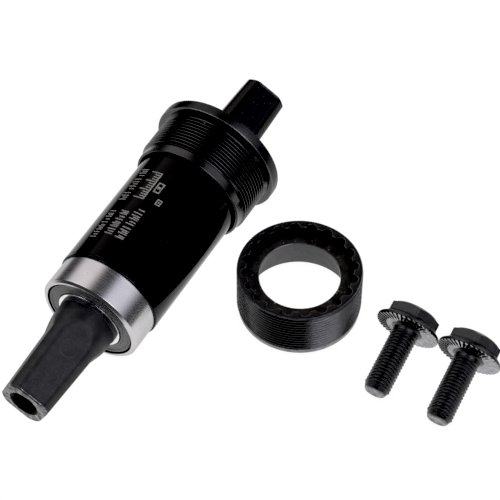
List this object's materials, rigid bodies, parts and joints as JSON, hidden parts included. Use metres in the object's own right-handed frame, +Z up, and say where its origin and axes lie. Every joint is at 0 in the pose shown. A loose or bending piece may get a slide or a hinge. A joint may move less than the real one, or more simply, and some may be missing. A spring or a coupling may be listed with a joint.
{
  "type": "bottom bracket",
  "caption": "Square-taper cartridge bottom bracket for a threaded bicycle frame shell, with its loose non-drive cup and flanged crank bolts laid out beside it.",
  "frame": {"origin": "on the spindle's axis, in the middle of the frame shell's width, with the kit lying on a table", "axes": "+X level, towards the drive side (the spindle's axis leans up from it by 3.90 degrees, as it lies on its flange rim); +Z up from the table; the loose pieces are on the -Y side"},
  "size_m": [0.1208, 0.1195, 0.0385],
  "materials": {
    "spindle_steel": "matte black phosphate, bare steel edge at the ends",
    "tube_black": "gloss black paint",
    "cup_black": "satin black coating",
    "ground_steel": "finely ground steel",
    "race_steel": "polished bearing steel",
    "ball_steel": "polished bearing steel",
    "cage_brass": "pressed sheet",
    "seal_rubber": "matte grey rubber",
    "shield_rubber": "matte black rubber",
    "spacer_steel": "drawn tube",
    "bolt_black": "black oxide, bare steel serrations and tip",
    "spring_steel": "blackened spring steel"
  },
  "bodies": {
    "cartridge": {"shell_tube": "tube_black", "drive_cup": "cup_black", "bearing_spacer": "spacer_steel", "drive_dust_shield": "shield_rubber", "drive_bearing_outer_ring": "ground_steel", "drive_bearing_outboard_seal": "seal_rubber", "drive_bearing_inboard_seal": "seal_rubber", "non_drive_bearing_outer_ring": "ground_steel", "non_drive_bearing_outboard_seal": "seal_rubber", "non_drive_bearing_inboard_seal": "seal_rubber"},
    "rotor": {"spindle": "spindle_steel", "drive_snap_ring": "spring_steel", "non_drive_snap_ring": "spring_steel", "drive_bearing_inner_ring": "race_steel", "non_drive_bearing_inner_ring": "race_steel"},
    "drive_ball_set": {"drive_bearing_balls": "ball_steel", "drive_bearing_cage": "cage_brass"},
    "non_drive_ball_set": {"non_drive_bearing_balls": "ball_steel", "non_drive_bearing_cage": "cage_brass"},
    "loose_cup": {"non_drive_cup": "cup_black"},
    "left_bolt": {"left_crank_bolt": "bolt_black"},
    "right_bolt": {"right_crank_bolt": "bolt_black"}
  },
  "joints": [
    {"name": "spindle_spin", "type": "hinge", "parent": "cartridge", "child": "rotor", "pos_m": [0, 0, 0], "axis": [0.9977, 0, 0.068], "continuous": true},
    {"name": "drive_balls_orbit", "type": "hinge", "parent": "cartridge", "child": "drive_ball_set", "pos_m": [0, 0, 0], "axis": [0.9977, 0, 0.068], "continuous": true},
    {"name": "non_drive_balls_orbit", "type": "hinge", "parent": "cartridge", "child": "non_drive_ball_set", "pos_m": [0, 0, 0], "axis": [0.9977, 0, 0.068], "continuous": true},
    {"name": "non_drive_cup_turn", "type": "hinge", "parent": "cartridge", "child": "loose_cup", "pos_m": [0.0142, -0.04, 0], "axis": [0, 0, 1], "continuous": true},
    {"name": "left_bolt_turn", "type": "hinge", "parent": "cartridge", "child": "left_bolt", "pos_m": [0.016, -0.0728, -0.00805], "axis": [0.9652, 0.0489, 0.2567], "continuous": true},
    {"name": "right_bolt_turn", "type": "hinge", "parent": "cartridge", "child": "right_bolt", "pos_m": [0.0168, -0.0912, -0.00805], "axis": [0.9648, 0.0573, 0.2567], "continuous": true}
  ],
  "couplings": [
    {"joint": "drive_balls_orbit", "follows": "spindle_spin", "ratio": 0.41519},
    {"joint": "non_drive_balls_orbit", "follows": "spindle_spin", "ratio": 0.41519}
  ]
}
